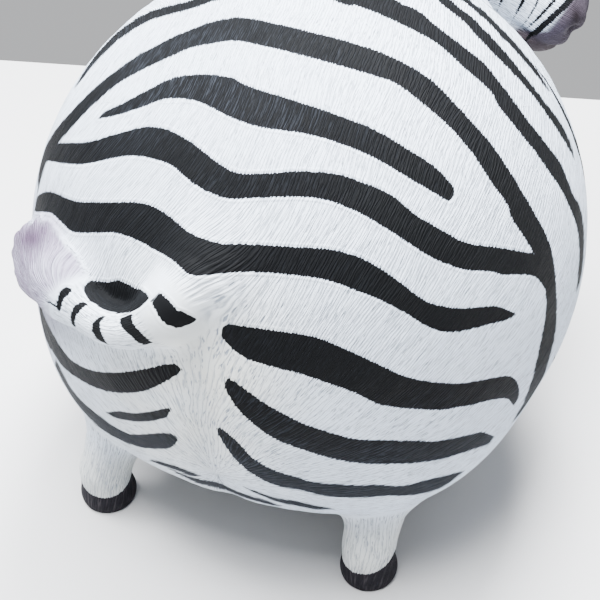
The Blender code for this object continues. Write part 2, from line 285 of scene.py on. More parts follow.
for lump in LUMPS:
    add_lump("head", *lump)
ear_runs = {}             # root and lean of each ear
for side in (-1, 1):
    for left, *rest in SIDE_LUMPS:
        add_lump("head", side * left, *rest)
    add_lump("eyes", side * EYE[0], *EYE[1:])
    ear_root = on_head(side * EAR_ROOT[0], *EAR_ROOT[1:])
    lean = HEAD_AXES @ unit(np.array([side * EAR_LEAN[0], *EAR_LEAN[1:]]))
    flat_way = unit(np.cross(lean, HEAD_AXES[:, 0]))
    add_ball("ears", ear_root + lean * EAR_LENGTH * EAR_MIDDLE, EAR_LENGTH * np.array(EAR_HALVES),
             np.stack([np.cross(flat_way, lean), flat_way, lean], 1))
    add_limb("ears", [ear_root, ear_root + lean * EAR_LENGTH * EAR_STEM],
             EAR_LENGTH * np.array(EAR_STEM_WIDE))
    ear_runs[side] = (ear_root, lean)
neck_path = smooth_path([place(*NECK_ROOT), place(*NECK_MIDDLE), on_head(0.0, 0.02, -0.02)],
                        NECK_STEPS)
neck_radii = HALF * np.interp(np.linspace(0, 2, NECK_STEPS), range(3), NECK_THICK)
add_limb("neck", neck_path, neck_radii, 40)

# The mane. A stiff brush of upright locks from the brow to the withers, modelled as short fingers
# side by side on a low fin, so the tips stand apart and the sides run together.
MANE_HEIGHT = 0.0100
MANE_THICK = 0.0032
MANE_LOCKS = 19
FIN_UP, FIN_WIDE = 0.45, 1.10             # the fin, in shares of the height and the thickness
LOCK_UNEVEN, LOCK_BEAT, FORELOCK = 0.12, 2.4, 0.55
LOCK_BEND, LOCK_TAPER = 0.55, (1.25, 1.05, 0.55)
CREST = [on_head(0.0, 0.16, 0.20), on_head(0.0, 0.02, 0.26), on_head(0.0, -0.16, 0.20),
         on_head(0.02, -0.28, 0.06), place(0.16, -0.94, 0.84), place(0.06, -0.62, 0.86)]
HEARTS = [on_head(0.0, 0.10, -0.10), on_head(0.0, 0.10, -0.10), on_head(0.0, 0.0, -0.12),
          on_head(0.0, -0.02, -0.18), place(0.03, -0.95, 0.45), place(0.02, -0.60, 0.20)]
crest = smooth_path(CREST, MANE_LOCKS)
rises = unit(crest - smooth_path(HEARTS, MANE_LOCKS))
add_limb("mane", crest + rises * MANE_HEIGHT * FIN_UP, np.full(MANE_LOCKS, MANE_THICK * FIN_WIDE))
for number, (root, rise) in enumerate(zip(crest, rises)):
    tall = MANE_HEIGHT * (1.0 + LOCK_UNEVEN * np.sin(LOCK_BEAT * number))
    tall *= 1.0 if number else FORELOCK
    add_limb("mane", [root - rise * MANE_THICK, root + rise * tall * LOCK_BEND, root + rise * tall],
             MANE_THICK * np.array(LOCK_TAPER), 14)

# The tail. A soft root swells out of the rump, the banded part lies curled to the left against
# the skin, and it opens into a flat fan of hair whose locks end at the left rim.
TAIL_WIDTH = 0.0100
TAIL_ROUTE = ((0.0, 31.5, -1.10), (1.4, 27.0, -0.38), (4.0, 22.3, 0.12), (8.3, 17.8, 0.30),
              (14.4, 14.3, 0.35), (21.0, 13.3, 0.33), (27.0, 13.7, 0.30), (31.0, 14.6, 0.24))
TAIL_SIZES = (1.80, 1.60, 1.32, 1.10, 1.00, 0.98, 1.00, 1.05)
TUFT_TIPS = ((40.0, 8.2, 0.26), (47.0, 5.0, 0.34), (52.5, 3.2, 0.40), (54.8, 6.0, 0.43),
             (55.0, 9.4, 0.36), (51.5, 12.6, 0.27), (46.5, 17.2, 0.15), (41.5, 19.2, 0.04))
TAIL_STEPS = 18
TUFT_BOW, TUFT_TAPER = 0.10, (0.88, 0.82, 0.70, 0.52, 0.26)
turns, ups, outs = np.array(TAIL_ROUTE).T
tail_path = smooth_path(on_body(turns, ups, outs * TAIL_WIDTH), TAIL_STEPS)
tail_radii = 0.5 * TAIL_WIDTH * np.interp(np.linspace(0, 7, TAIL_STEPS), range(8), TAIL_SIZES)
add_limb("tail_root", tail_path[:7], tail_radii[:7], 24)
add_limb("tail", tail_path[5:], tail_radii[5:], 24)
tuft_root = tail_path[-1]
for turn, rise, out in TUFT_TIPS:
    tip = on_body(turn, rise, out * TAIL_WIDTH)
    bow = (tuft_root + tip) / 2.0 + TUFT_BOW * TAIL_WIDTH * (tuft_root - MIDDLE) / HALF
    add_limb("tuft", smooth_path([tuft_root, bow, tip], len(TUFT_TAPER)),
             0.5 * TAIL_WIDTH * np.array(TUFT_TAPER))

# The skin of the casting. One fine closed surface is drawn round all the forms, then every point
# is moved down the slope of the melted distance until it lies on it, so forms run into each other
# with the soft fillets of a clay model.
SKIN_STEP = 0.00065
SETTLE_STEP = 0.00015     # how far apart the slope is measured
SETTLE_MOST = 0.002       # and the furthest that a point moves in one round
SLOPE_LEAST = 0.05
MELT = {                  # how widely forms of a group melt together, then into the rest, metres
    "body": (0.004, 0.004), "haunches": (0.004, 0.006), "hind_left": (0.0015, 0.0045),
    "hind_right": (0.0015, 0.0045), "fore_left": (0.0015, 0.0045), "fore_right": (0.0015, 0.0045),
    "neck": (0.004, 0.009), "head": (0.0045, 0.006), "eyes": (0.001, 0.0012),
    "ears": (0.0025, 0.003), "mane": (0.0012, 0.0022), "tail_root": (0.002, 0.010),
    "tail": (0.002, 0.0026), "tuft": (0.0036, 0.0085)}


def melted(a, b, reach):
    """The lesser of two distances, less (reach - |a - b|)^2 / (4 reach) where they are near."""
    near = np.maximum(reach - np.abs(a - b), 0.0)
    return np.minimum(a, b) - near * near / (4.0 * reach)


def group_gap(spots, group):
    """The melted distance to the forms of one group; far wherever none of them is near."""
    gap = np.full(len(spots), FAR)
    for rule, low, high in forms[group]:
        near = np.flatnonzero(((spots > low - REACH) & (spots < high + REACH)).all(1))
        if len(near):
            gap[near] = melted(gap[near], rule(spots[near]), MELT[group][0])
    return gap


def casting_gap(spots):
    """The melted distance to the whole casting, group by group."""
    gap = np.full(len(spots), FAR)
    for group, (_, reach) in MELT.items():
        gap = melted(gap, group_gap(spots, group), reach)
    return gap


def settled(spots, rounds=3):
    """Spot - distance * slope / |slope|^2, the slope taken over four near points of a pyramid."""
    corners = SETTLE_STEP * np.array([[1, 1, 1], [1, -1, -1], [-1, 1, -1], [-1, -1, 1]])
    for _ in range(rounds):
        heights = [casting_gap(spots + corner) for corner in corners]
        slope = sum(h[:, None] * corner for h, corner in zip(heights, corners))
        slope /= 4 * SETTLE_STEP ** 2
        move = np.mean(heights, 0)[:, None] * slope / np.maximum(
            (slope ** 2).sum(1, keepdims=True), SLOPE_LEAST)
        spots = spots - np.clip(move, -SETTLE_MOST, SETTLE_MOST)
    return spots, unit(slope)


def linked(name, data):
    """A new object of the scene, made of some data."""
    made = bpy.data.objects.new(name, data)
    bpy.context.scene.collection.objects.link(made)
    return made


rough_points, rough_faces, count = [], [], 0
for points, quads, fans in surfaces:
    rough_points.append(points)
    rough_faces += (quads + count).tolist() + (fans + count).tolist()
    count += len(points)
rough_mesh = bpy.data.meshes.new("forms")
rough_mesh.from_pydata(np.vstack(rough_points).tolist(), [], rough_faces)
rough = linked("forms", rough_mesh)
wrap = rough.modifiers.new("skin", "REMESH")
wrap.mode = "VOXEL"
wrap.voxel_size = SKIN_STEP
skin = bpy.data.meshes.new_from_object(
    rough.evaluated_get(bpy.context.evaluated_depsgraph_get()))
bpy.data.objects.remove(rough)
spots = np.empty(len(skin.vertices) * 3)
skin.vertices.foreach_get("co", spots)
faces = np.empty(len(skin.loops), np.int64)
skin.loops.foreach_get("vertex_index", faces)
faces = faces.reshape(-1, 4)
spots, outward = settled(spots.reshape(-1, 3))
gaps = np.stack([group_gap(spots, group) for group in MELT])
groups = np.array(list(MELT))
owner = groups[np.argmin(gaps, 0)]
owner[np.isin(owner, ("haunches", "tail_root"))] = "body"
print("skin points", len(spots), "faces", len(faces))

# The carving. Hair is cut all over in short shallow strokes that run from the front of the back
# down to a hollow under the tail, along each leg, along the face and tail, and up the mane. Each
# point keeps where it lies across and along the strokes, so the paint can follow them.
STROKE_WIDE = 0.00075     # the real strokes lie 0.6 to 0.9 mm apart
STROKE_SLENDER = 9.0      # and are this many times as long
WANDER = (0.0026, 0.014)  # they stray this far sideways, over this length
WANDER_LEAST = 0.004
LEAN = -1.06              # left of the tail they lean outwards as they fall, most at this x,
LEAN_PLACE, LEAN_SPREAD = 90.0, 130.0         # over this spread, and between these heights
LEAN_FROM, LEAN_TO = -60.0, 400.0
LEAN_BEHIND = 0.03        # and not on the front of the animal
LOCK_WIDE = 0.0019        # wider locks, raised a little, gather two or three strokes
LOCK_SLENDER = 5.0
STROKE_SINK = (-1.0, -22.0)                   # where the body's strokes run together
FAN_BACK, FAN_LEAST, FAN_UNIT = 0.009, 0.003, 0.01
REACHES = {"head": 0.013, "eyes": 0.013, "neck": 0.022, "mane": 0.012, "ears": 0.016,
           "tail": 0.0052}
LEG_REACH = 0.0085
MANE_TURN = 0.4           # the mane's strokes run round its path, closer together
LINES_FROM, LINES_TO = 0.35, 0.65             # where one set of even lines hands over to the next
LEAST_REACH = 1e-4

# The photograph's eye point, and the lens's length in its 600 units: what is seen is placed by it.
EYE_POINT = np.array([-0.11537, 0.32450, 0.32623])
EYE_AHEAD = np.array([0.27453, -0.71516, -0.64279])
EYE_RIGHT = np.array([-0.93358, -0.35837, 0.0])
EYE_UP = np.array([0.23036, -0.60010, 0.76604])
EYE_LONG = 1498.1
PICTURE_HALF = 300


def as_seen(spots):
    """Where spots fall in the picture: half + long * (right, down) / ahead from the eye point."""
    off = spots - EYE_POINT
    flat = np.stack([off @ EYE_RIGHT, -(off @ EYE_UP)], -1)
    return PICTURE_HALF + EYE_LONG * flat / (off @ EYE_AHEAD)[:, None]


def across_and_along(turn, run, reach, wide, slender):
    """(cos t k, sin t k, run k / slender), k a power of two near reach / wide; twice, with even
    and with odd powers, and the share of the second, so that strokes stay as wide everywhere.
    """
    level = np.log2(np.maximum(reach, LEAST_REACH) / wide)
    even = 2 * np.round(level / 2)
    odd = 2 * np.round((level - 1) / 2) + 1
    sets = []
    for power in (even, odd):
        k = 2.0 ** power
        sets.append(np.stack([np.cos(turn) * k, np.sin(turn) * k, run * k / slender], -1))
    return sets[0], sets[1], np.abs(level - even)


def round_axis(spots, start, axis, reach):
    """The turn round an axis, and the way along it in shares of a fixed reach."""
    away = UPRIGHT[np.argmin(np.abs(axis))]
    side = unit(np.cross(axis, away))
    inside = spots - start
    turn = np.arctan2(inside @ np.cross(axis, side), inside @ side)
    return turn, inside @ axis / reach, np.full(len(spots), reach)


def body_flow(spots):
    """Meridians from a source to the sink: the turn round the sink's axis, artanh of the cosine
    of the angle from it, and the metres that one unit of either is worth there.
    """
    ball = unit(body_unshaped(spots))
    sink = (on_body(*STROKE_SINK) - MIDDLE) / HALF
    side = unit(np.cross([1.0, 0.0, 0.0], sink))
    sine = np.hypot(ball @ side, ball @ np.cross(sink, side))
    turn = np.arctan2(ball @ np.cross(sink, side), ball @ side)
    return turn, np.arctanh(np.clip(ball @ sink, -0.9999, 0.9999)), HALF * sine


def path_flow(spots, path, reach):
    """The turn round the nearest span of a path and the way along it, in shares of a reach."""
    best = np.full(len(spots), FAR)
    turn, along = np.zeros(len(spots)), np.zeros(len(spots))
    travelled = 0.0
    for here, there in zip(path, path[1:]):
        run = there - here
        long = np.linalg.norm(run)
        run = run / long
        t = np.clip((spots - here) @ run, 0.0, long)
        off = spots - here - t[:, None] * run
        away = np.linalg.norm(off, axis=1)
        top = here - MIDDLE
        top = unit(top - run * (top @ run))
        near = away < best
        best[near] = away[near]
        turn[near] = np.arctan2(off[near] @ np.cross(run, top), off[near] @ top)
        along[near] = (travelled + t[near]) / reach
        travelled += long
    return turn, along, np.full(len(spots), reach)


def fan_flow(spots):
    """Rays from the root of the tuft: the turn round it, the log of the way out, and that way."""
    top = unit(tuft_root - MIDDLE)
    side = unit(np.cross(top, [0.0, 0.0, 1.0]))
    off = spots - (tuft_root - FAN_BACK * side)
    way = np.maximum(np.linalg.norm(off, axis=1), FAN_LEAST)
    return np.arctan2(off @ np.cross(top, side), off @ side), np.log(way / FAN_UNIT), way


def eased(value, low, high):
    """Nought below low, one above high, and 3 t^2 - 2 t^3 between them."""
    t = np.clip((value - low) / (high - low), 0.0, 1.0)
    return t * t * (3.0 - 2.0 * t)


plain = spots.copy()      # the places before carving, which the paint is measured on
seen_at = as_seen(plain)
turn, run, reach = body_flow(plain)
for group in MELT:
    mine = owner == group
    if group == "body" or not mine.any():
        continue
    at, far = plain[mine], REACHES.get(group, LEG_REACH)
    if group in leg_runs:
        found = round_axis(at, *leg_runs[group][:2], far)
    elif group in ("head", "eyes"):
        found = round_axis(at, SKULL, head_back, far)
    elif group == "ears":
        found = round_axis(at, SKULL, head_up, far)
    elif group == "tuft":
        found = fan_flow(at)
    elif group == "mane":
        around, along, far = path_flow(at, crest[::-1], far)
        found = along, MANE_TURN * around, far
    else:
        found = path_flow(at, neck_path if group == "neck" else tail_path, far)
    turn[mine], run[mine], reach[mine] = found


def lattice_noise(at):
    """Random numbers on the corners of a unit lattice, blended by 3 f^2 - 2 f^3 between them."""
    base = np.floor(at).astype(np.int64)
    f = at - base
    f = f * f * (3.0 - 2.0 * f)
    total = np.zeros(len(at))
    for corner in np.ndindex(2, 2, 2):
        x, y, z = (base + corner).T
        mixed = (x * 374761393 + y * 668265263 + z * 1442695041) & 0x7FFFFFFF
        mixed = ((mixed ^ (mixed >> 13)) * 1274126177) & 0x7FFFFFFF
        share = np.prod(np.where(np.array(corner) == 1, f, 1.0 - f), axis=1)
        total += share * ((mixed ^ (mixed >> 16)) & 0xFFFF) / 65535.0
    return total


fade = np.exp(-((seen_at[:, 0] - LEAN_PLACE) / LEAN_SPREAD) ** 2) * (owner == "body")
fade *= eased(plain[:, 1], 0.0, LEAN_BEHIND)
turn += LEAN * fade * (eased(seen_at[:, 1], LEAN_FROM, LEAN_TO) - 0.5)
turn += WANDER[0] / np.maximum(reach, WANDER_LEAST) * (lattice_noise(plain / WANDER[1]) - 0.5)
strokes_a, strokes_b, strokes_share = across_and_along(turn, run, reach, STROKE_WIDE,
                                                       STROKE_SLENDER)
locks_a, locks_b, locks_share = across_and_along(turn, run, reach, LOCK_WIDE, LOCK_SLENDER)
level = np.log2(2 * np.pi * np.maximum(reach, LEAST_REACH) / STROKE_WIDE)
even = 2 * np.round(level / 2)
lines_a = turn * 2.0 ** even                  # a whole number of lines goes round
lines_b = turn * 2.0 ** (2 * np.round((level - 1) / 2) + 1)
lines_share = np.clip((np.abs(level - even) - LINES_FROM) / (LINES_TO - LINES_FROM), 0.0, 1.0)

LOCK_HEIGHT = {"body": 0.00012, "head": 0.00005, "eyes": 0.0, "ears": 0.00006, "mane": 0.00030,
               "tuft": 0.00028, "neck": 0.00014}
OTHER_LOCKS = 0.00010
LOCKS_FROM, LOCKS_FULL = 0.010, 0.014         # the hooves are smooth
locks = (lattice_noise(locks_a) * (1 - locks_share) + lattice_noise(locks_b) * locks_share) - 0.5
lock_height = np.zeros(len(spots))
for group in MELT:
    lock_height[owner == group] = LOCK_HEIGHT.get(group, OTHER_LOCKS)
lock_height *= np.clip((plain[:, 2] - LOCKS_FROM) / (LOCKS_FULL - LOCKS_FROM), 0.0, 1.0)
sink = np.zeros(len(spots))


def groove(path, depth, width):
    """Depth * exp(-(distance to the path / width)^2), the deepest cut winning."""
    path = np.asarray(path, float)
    near = np.flatnonzero(((spots > path.min(0) - 3 * width)
                           & (spots < path.max(0) + 3 * width)).all(1))
    gap = path_gap(spots[near], path, np.zeros(len(path)))
    sink[near] = np.maximum(sink[near], depth * np.exp(-(gap / width) ** 2))
    cut = np.full(len(spots), FAR)
    cut[near] = gap
    return cut


def seen_spot(x, y, wide, high):
    """exp(-((right - x) / wide)^2 - ((down - y) / high)^2) for where points fall in the picture."""
    return np.exp(-((seen_at[:, 0] - x) / wide) ** 2 - ((seen_at[:, 1] - y) / high) ** 2)


CLEFT_RUN = np.arange(18.0, -66.0, -6.0)      # down the middle of the rump, in degrees
CLEFT_DEPTH, CLEFT_WIDE = 0.0010, 0.07 * HALF
MOUTH_END = (575, 35, 9, 9)                   # where the lips draw in: a spot in picture units
MOUTH_END_DEPTH = 0.0018
FACE_CUTS = {             # depth, width, steps and path, in head lengths on the left side
    "nostril": (0.034, 0.034, 2, ((0.118, 0.700, 0.045), (0.135, 0.665, 0.005))),
    "mouth": (0.024, 0.020, 9, ((0.0, 0.735, -0.085), (0.10, 0.690, -0.080),
                                (0.165, 0.570, -0.072), (0.185, 0.450, -0.085))),
    "lid": (0.012, 0.014, 7, ((0.215, 0.150, 0.085), (0.232, 0.205, 0.125),
                              (0.215, 0.275, 0.080)))}
CUP_AHEAD, CUP_FROM, CUP_TO = 0.16, 0.22, 0.78            # hollow of an ear, in ear lengths
CUP_DEPTH, CUP_WIDE = 0.11, 0.13
groove(on_body(np.zeros(len(CLEFT_RUN)), CLEFT_RUN), CLEFT_DEPTH, CLEFT_WIDE)
cut_gaps = dict.fromkeys(FACE_CUTS, FAR)
for side in (-1, 1):
    for name, (deep, wide, steps, path) in FACE_CUTS.items():
        path = smooth_path([on_head(side * left, ahead, up) for left, ahead, up in path], steps)
        cut_gaps[name] = np.minimum(cut_gaps[name],
                                    groove(path, deep * HEAD_LENGTH, wide * HEAD_LENGTH))
    ear_root, lean = ear_runs[side]
    cup = ear_root - HEAD_AXES[:, 1] * EAR_LENGTH * CUP_AHEAD
    groove([cup + lean * EAR_LENGTH * CUP_FROM, cup + lean * EAR_LENGTH * CUP_TO],
           CUP_DEPTH * EAR_LENGTH, CUP_WIDE * EAR_LENGTH)
sink += MOUTH_END_DEPTH * seen_spot(*MOUTH_END) * (owner == "head")
spots = plain + outward * (2.0 * locks * lock_height - sink)[:, None]
spots[:, 2] = np.maximum(spots[:, 2], 0.0)

# The paint. Black stripes are brushed on over white. Those of the rump are drawn as they are seen
# from the eye point above, each as an upper and a lower edge in the picture's own 600 units; those
# that can't be seen from there go on round the body as bands given by angles.
UNITS_PER_MM = 3.65       # picture units to a millimetre at the body
EDGED = {                 # upper edge, then lower edge
    "over_the_back": (
     ((36, 168), (46, 145), (58, 126), (81, 101), (100, 83), (115, 71), (135, 57), (153, 47), (172, 37),
      (191, 29), (210, 22), (230, 18), (249, 18), (300, 29), (357, 44), (396, 59), (434, 82), (474, 124),
      (493, 146), (516, 181), (533, 210), (546, 234), (553, 254), (556, 281), (557, 320), (554, 340),
      (547, 367), (535, 396), (512, 423)),
     ((36, 176), (50, 158), (60, 141), (75, 124), (90, 108), (105, 95), (115, 86), (135, 74), (153, 65),
      (172, 56), (191, 48), (210, 44), (230, 41), (249, 43), (300, 55), (357, 71), (396, 84), (430, 110),
      (449, 127), (472, 153), (492, 184), (506, 203), (512, 219), (524, 237), (533, 253), (542, 275),
      (546, 300), (543, 329), (535, 367), (526, 396), (512, 423))),
    "short_of_the_back": (
     ((98, 119), (105, 111), (115, 107), (143, 92), (172, 78), (201, 74), (230, 77), (249, 86),
      (287, 98), (300, 102), (338, 115), (376, 130), (405, 147), (434, 166), (453, 186), (455, 195)),
     ((98, 119), (115, 116), (143, 107), (166, 99), (191, 100), (210, 107), (230, 117), (258, 127),
      (300, 133), (338, 143), (376, 159), (405, 176), (434, 193), (449, 201), (455, 195))),
    "upper_rump": (
     ((44, 150), (59, 143), (86, 142), (115, 134), (143, 127), (163, 128), (182, 136), (201, 149),
      (220, 164), (239, 173), (268, 173), (300, 171), (338, 174), (367, 184), (392, 195), (415, 214),
      (430, 223), (449, 234), (468, 243), (503, 248), (533, 253), (545, 250)),
     ((42, 160), (48, 161), (67, 164), (86, 164), (115, 158), (134, 156), (153, 159), (172, 166),
      (191, 182), (210, 193), (230, 199), (258, 198), (300, 197), (329, 201), (357, 212), (382, 226),
      (405, 241), (430, 257), (449, 265), (465, 270), (492, 272), (503, 275), (533, 276), (546, 290))),
    "middle_rump": (
     ((34, 209), (38, 195), (52, 192), (76, 201), (105, 202), (134, 202), (153, 206), (172, 218),
      (191, 233), (220, 243), (249, 244), (300, 247), (329, 249), (357, 256), (380, 268), (396, 279),
      (424, 300), (443, 306), (463, 308), (491, 306), (503, 308), (517, 314)),
     ((34, 209), (36, 212), (50, 213), (61, 222), (73, 232), (96, 233), (115, 233), (134, 239),
      (153, 249), (172, 260), (191, 275), (220, 274), (249, 272), (300, 276), (329, 281), (357, 291),
      (380, 300), (405, 313), (424, 325), (443, 332), (463, 331), (491, 324), (507, 320), (517, 314))),
    "lower_rump": (
     ((220, 332), (224, 326), (235, 325), (258, 328), (300, 334), (319, 338), (348, 350), (376, 363),
      (405, 376), (434, 382), (463, 383), (491, 378), (510, 376), (518, 384), (519, 396), (514, 407)),
     ((220, 332), (224, 341), (239, 354), (258, 363), (300, 374), (329, 384), (357, 394), (380, 405),
      (415, 409), (443, 410), (472, 405), (491, 400), (507, 399), (514, 407))),
    "upper_thigh": (
     ((224, 384), (227, 379), (232, 380), (249, 392), (268, 405), (300, 422), (329, 432), (357, 439),
      (396, 440), (434, 441), (463, 436), (482, 432), (495, 437)),
     ((224, 384), (226, 392), (239, 411), (258, 428), (277, 440), (300, 449), (329, 458), (357, 463),
      (396, 464), (434, 461), (463, 453), (487, 445), (495, 437))),
    "lower_thigh": (
     ((215, 430), (219, 429), (224, 431), (239, 443), (252, 457), (274, 470), (300, 478), (329, 484),
      (376, 485), (405, 485), (434, 478), (466, 470)),
     ((215, 430), (220, 440), (235, 459), (252, 474), (277, 486), (300, 490), (329, 497), (357, 498),
      (386, 496), (415, 495), (443, 487), (466, 470))),
    "right_flank": (
     ((372, -14), (399, 2), (419, 11), (438, 27), (463, 46), (484, 63), (506, 90), (531, 124),
      (547, 144), (562, 166), (572, 191), (580, 207), (584, 225), (584, 254), (581, 278), (576, 294)),
     ((310, -8), (344, 2), (376, 13), (415, 31), (440, 46), (463, 67), (489, 90), (500, 108), (524, 138),
      (541, 160), (559, 187), (569, 206), (577, 229), (579, 251), (578, 273), (576, 294))),
    "right_ribs": (
     ((425, -28), (453, 2), (472, 17), (491, 36), (510, 57), (536, 90), (550, 108), (562, 125),
      (571, 144), (575, 162)),
     ((412, -28), (439, 2), (463, 21), (482, 42), (501, 61), (528, 90), (547, 115), (562, 138),
      (569, 150), (575, 162))),
    "left_flank": (
     ((40, 300), (45, 317), (53, 333), (64, 351), (76, 363), (96, 371), (124, 372), (153, 367),
      (172, 364), (182, 371)),
     ((38, 300), (41, 328), (49, 346), (62, 366), (80, 380), (105, 391), (134, 393), (153, 388),
      (172, 378), (182, 371))),
    "left_thigh_short": (
     ((105, 412), (120, 411), (134, 413), (153, 411), (168, 408), (171, 411)),
     ((105, 412), (119, 419), (140, 422), (163, 419), (171, 411))),
    "left_thigh": (
     ((55, 358), (70, 386), (84, 403), (100, 416), (115, 427), (134, 434), (163, 433), (173, 435),
      (178, 441)),
     ((55, 366), (69, 394), (80, 408), (92, 421), (107, 433), (124, 442), (143, 448), (163, 449),
      (172, 447), (178, 441))),
}
LINED = {                 # middle line and half width, in picture units
    "left_back": ((190, 5, 4.2), (170, 10, 4.4), (150, 16, 4.5), (132, 26, 4.2), (116, 38, 3.6),
        (98, 56, 2.6), (84, 74, 1.6), (74, 89, 0.2)),
    "across_the_top": ((190, 5, 4.2), (225, -7, 5.0), (270, -15, 6.5), (315, -14, 8.5), (350, -4, 10.0)),
    "right_rim": ((452, -10, 2.0), (468, 2, 2.6), (484, 15, 2.9), (503, 34, 3.0), (520, 52, 2.8),
        (537, 73, 2.2), (550, 92, 0.6)),
    "below_the_thigh": ((168, 468, 0.3), (185, 476, 1.2), (201, 483, 2.0), (230, 493, 2.4),
        (262, 501, 2.0), (276, 505, 0.8), (283, 506, 0.2)),
    "below_the_left_thigh": ((150, 460, 0.5), (163, 464, 1.7), (178, 469, 2.1), (190, 474, 1.9),
        (200, 478, 0.3)),
    "inner_thigh": ((242, 487, 0.4), (258, 493, 1.5), (277, 500, 1.9), (295, 503, 2.5), (314, 507, 2.1),
        (334, 509, 0.4)),
    "down_the_left_rim": ((46, 152, 4.5), (42, 166, 2.8), (39, 182, 1.5), (37, 194, 0.3)),
}
UNSEEN = {                # round, up and half width in millimetres
    "over_the_withers": ((-125, 62, 1.1), (-140, 66, 1.8), (-165, 69, 2.4), (-192, 67, 3.0),
        (-222, 59, 3.4), (-247, 44, 3.6), (-257, 28, 3.6), (-261, 12, 3.4), (-262, -4, 2.8),
        (-263, -18, 1.6), (-263, -28, 0.1)),
    "left_shoulder": ((147, 50, 0.1), (132, 45, 1.8), (122, 33, 3.0), (118, 17, 3.4), (118, 2, 3.2),
        (121, -12, 2.4), (125, -24, 0.1)),
    "left_neck_side": ((151, 28, 0.1), (143, 21, 2.0), (140, 8, 2.8), (142, -6, 2.6), (148, -18, 0.1)),
    "left_belly_side": ((88, 26, 0.1), (84, 14, 1.6), (81, 1, 2.6), (81, -12, 2.0), (84, -24, 0.1)),
    "left_flank_on": ((45, -9, 2.6), (51, -3, 2.4), (58, 3, 1.8), (66, 9, 0.2)),
    "left_thigh_on": ((50, -24, 1.2), (60, -22, 2.2), (72, -20, 2.6), (86, -24, 2.2), (97, -32, 0.2)),
    "left_low": ((68, -36, 0.1), (82, -38, 2.0), (98, -41, 2.0), (112, -44, 0.1)),
    "right_ribs_on": ((-116, 40, 0.3), (-112, 28, 1.9), (-110, 13, 3.1), (-110, -2, 3.2),
        (-112, -16, 2.4), (-116, -29, 0.1)),
    "right_shoulder": ((-142, 51, 0.1), (-135, 40, 2.2), (-130, 24, 3.3), (-130, 8, 3.4),
        (-132, -8, 2.8), (-137, -21, 0.1)),
    "right_neck_side": ((-157, 27, 0.1), (-151, 18, 2.2), (-148, 4, 2.8), (-150, -10, 2.2),
        (-157, -20, 0.1)),
    "right_low": ((-82, -10, 0.1), (-87, -18, 2.0), (-94, -28, 2.4), (-105, -37, 0.1)),
    "chest_high": ((197, 0, 0.1), (188, -4, 2.0), (180, -6, 2.6), (172, -4, 2.0), (163, 0, 0.1)),
    "chest_low": ((207, -17, 0.1), (193, -20, 2.4), (180, -24, 3.0), (167, -20, 2.4), (153, -17, 0.1)),
}


def outline_depth(at, outline):
    """How far inside a closed outline: the distance to its nearest side, below nought outside."""
    inside = np.zeros(len(at), bool)
    gap = np.full(len(at), np.inf)
    for (ax, ay), (bx, by) in zip(outline, np.roll(outline, -1, 0)):
        t = np.clip(((at[:, 0] - ax) * (bx - ax) + (at[:, 1] - ay) * (by - ay))
                    / max((bx - ax) ** 2 + (by - ay) ** 2, 1e-9), 0.0, 1.0)
        gap = np.minimum(gap, np.hypot(at[:, 0] - ax - t * (bx - ax),
                                       at[:, 1] - ay - t * (by - ay)))
        if ay != by:
            inside ^= ((at[:, 1] < ay) != (at[:, 1] < by)) & (
                at[:, 0] < ax + (at[:, 1] - ay) * (bx - ax) / (by - ay))
    return np.where(inside, gap, -gap)


def darken(who, depth):
    """Blackens some points by millimetres inside the paint; the deepest mark wins."""
    stripe[who] = np.maximum(stripe[who], depth)


def draw(who, at, mark, rule, margin):
    """Blackens those of some points that lie within a margin of a mark, by the mark's rule."""
    near = np.flatnonzero(((at > mark.min(0) - margin) & (at < mark.max(0) + margin)).all(1))
    darken(who[near], rule(at[near]))


ENDS_TAPER = 3.4          # millimetres that a stripe narrows by as it turns out of sight,
TAPER_FROM, TAPER_TO = 0.07, -0.06            # between these cosines
HIDDEN_FROM = 0.30        # the bands given by angles are kept to what is seen less squarely
DRAWN_MARGIN, LINE_MARGIN, BAND_MARGIN = 11.0, 14.0, 0.007
NO_PAINT = -3.0
stripe = np.full(len(spots), NO_PAINT)        # millimetres inside the black paint
facing = (unit(EYE_POINT - plain) * outward).sum(1)
on_rump = np.isin(owner, ("body", "hind_left", "hind_right"))
seen_body = np.flatnonzero(on_rump & (facing > TAPER_TO))
for upper, lower in EDGED.values():
    outline = np.vstack([smooth_path(upper, 4 * len(upper)),
                         smooth_path(lower, 4 * len(lower))[::-1]])
    draw(seen_body, seen_at[seen_body], outline,
         lambda at: outline_depth(at, outline) / UNITS_PER_MM, DRAWN_MARGIN)
for line in LINED.values():
    line = smooth_path(line, 6 * len(line))
    draw(seen_body, seen_at[seen_body], line[:, :2],
         lambda at: -path_gap(at, line[:, :2], line[:, 2]) / UNITS_PER_MM, LINE_MARGIN)
stripe[seen_body] -= ENDS_TAPER * np.clip((TAPER_FROM - facing[seen_body])
                                          / (TAPER_FROM - TAPER_TO), 0.0, 1.0)
all_round = np.flatnonzero((owner == "body") & (facing < HIDDEN_FROM))
ball_place = HALF * unit(body_unshaped(plain[all_round]))
for band in UNSEEN.values():
    band = smooth_path(band, 6 * len(band))
    middle_line = on_body(band[:, 0], band[:, 1]) - MIDDLE
    draw(all_round, ball_place, middle_line,
         lambda at: -1000.0 * path_gap(at, middle_line, band[:, 2] / 1000.0), BAND_MARGIN)

